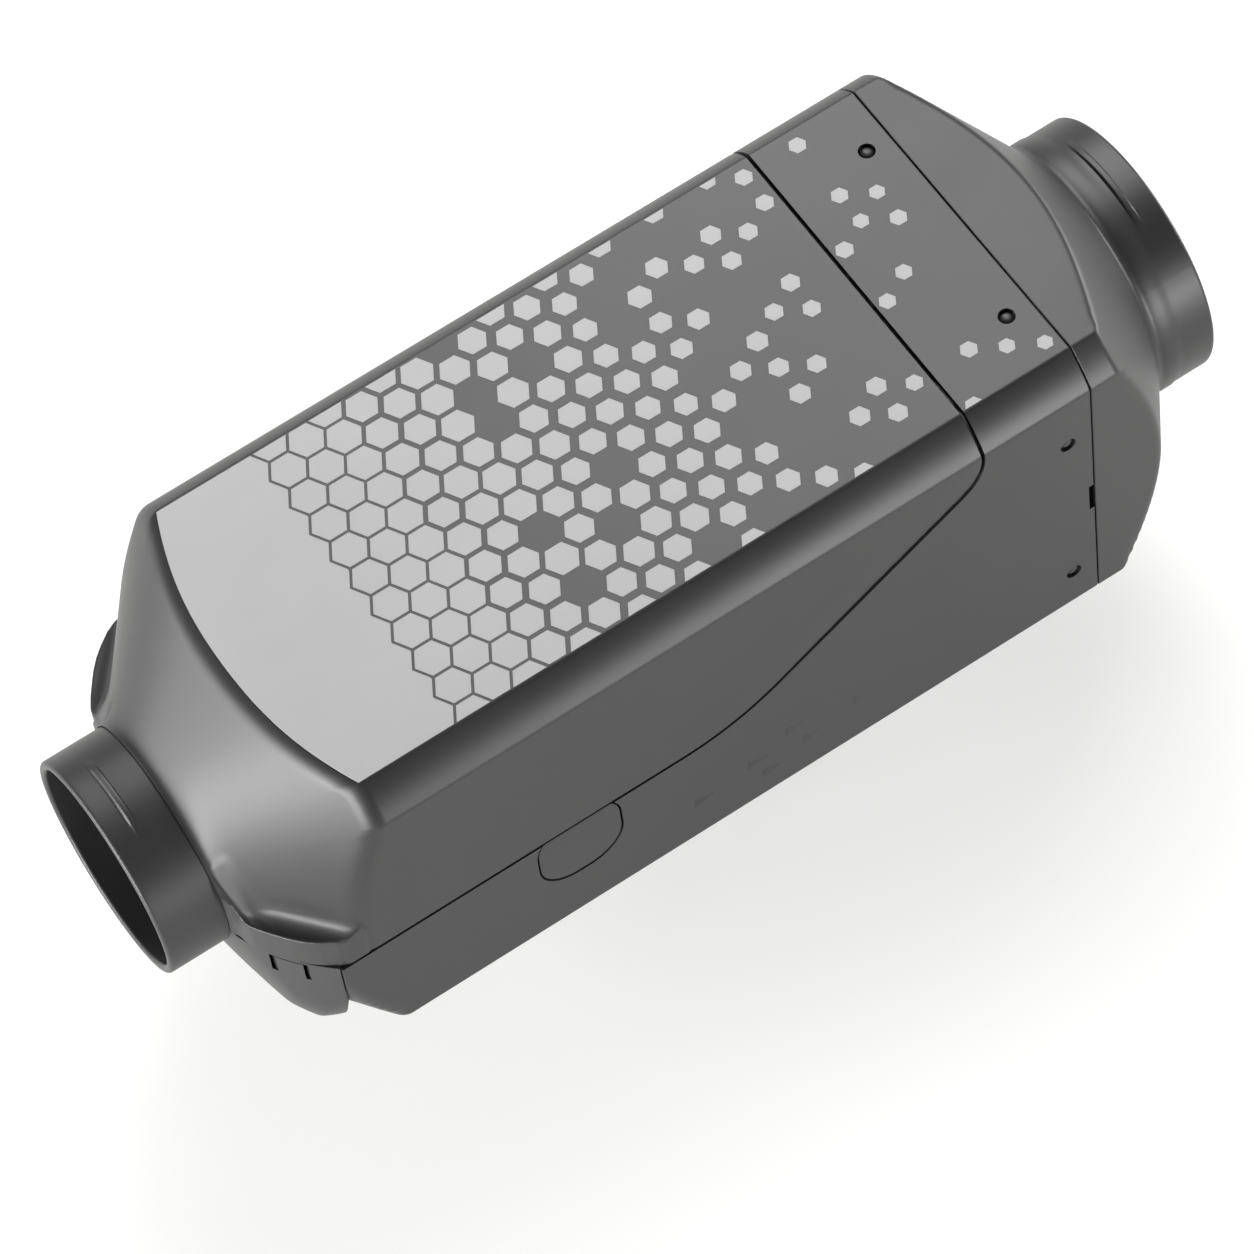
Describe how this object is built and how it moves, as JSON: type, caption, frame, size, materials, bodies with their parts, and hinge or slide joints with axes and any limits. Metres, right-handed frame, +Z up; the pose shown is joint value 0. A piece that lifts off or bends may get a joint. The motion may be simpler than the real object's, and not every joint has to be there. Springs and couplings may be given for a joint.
{
  "type": "diesel air heater",
  "caption": "Diesel air heater for a vehicle: bevelled plastic casing with inlet and outlet nozzles, fan, burner, finned heat exchanger and mounting foot.",
  "frame": {"origin": "centre of the base gasket's underside, where the heater's foot stands on its mounting plate", "axes": "+X along the air path from the inlet nozzle to the outlet nozzle, +Y across, +Z up away from the mounting plate"},
  "size_m": [0.382, 0.136, 0.1773],
  "materials": {
    "casing_plastic": "fine spark-eroded texture, matte dark grey moulded polyamide",
    "hood_plastic": "matte dark grey moulded polyamide",
    "black_plastic": "satin black moulded polyamide",
    "cast_aluminium": "as die-cast",
    "bright_steel": "zinc plated or ground",
    "dark_steel": "heat-darkened stainless steel",
    "gasket": "compressed fibre sheet, matte grey",
    "sensor_brass": "satin brass",
    "magnet": "dark sintered magnet"
  },
  "bodies": {
    "housing": {"air_stub": "bright_steel", "base_gasket": "gasket", "blower_cover": "cast_aluminium", "blower_gasket": "gasket", "blower_housing": "cast_aluminium", "blower_screw_1": "bright_steel", "blower_screw_2": "bright_steel", "blower_screw_3": "bright_steel", "blower_screw_4": "bright_steel", "burner": "dark_steel", "burner_gasket": "gasket", "cable_cap_left": "casing_plastic", "cable_cap_right": "casing_plastic", "ecu_case": "black_plastic", "ecu_lid": "cast_aluminium", "ecu_screw_1": "bright_steel", "ecu_screw_2": "bright_steel", "exhaust_stub": "dark_steel", "front_bearing": "bright_steel", "fuel_pipe": "bright_steel", "glow_plug": "bright_steel", "glow_screen": "dark_steel", "harness_connector": "black_plastic", "heat_exchanger": "cast_aluminium", "inlet_hood": "casing_plastic", "lower_shell": "casing_plastic", "motor_can": "dark_steel", "mount_stud_1": "bright_steel", "mount_stud_2": "bright_steel", "mount_stud_3": "bright_steel", "mount_stud_4": "bright_steel", "outlet_hood": "hood_plastic", "overheat_sensor": "sensor_brass", "rear_bearing": "bright_steel", "sensor_clip": "bright_steel", "upper_shell": "casing_plastic"},
    "rotor": {"motor_shaft": "bright_steel", "motor_rotor": "dark_steel", "fan_impeller": "black_plastic", "fan_clip": "black_plastic", "combustion_impeller": "cast_aluminium", "speed_magnet": "magnet"}
  },
  "joints": [
    {"name": "rotor_spin", "type": "hinge", "parent": "housing", "child": "rotor", "pos_m": [-0.15, 0, 0.08], "axis": [1, 0, 0], "continuous": true}
  ]
}
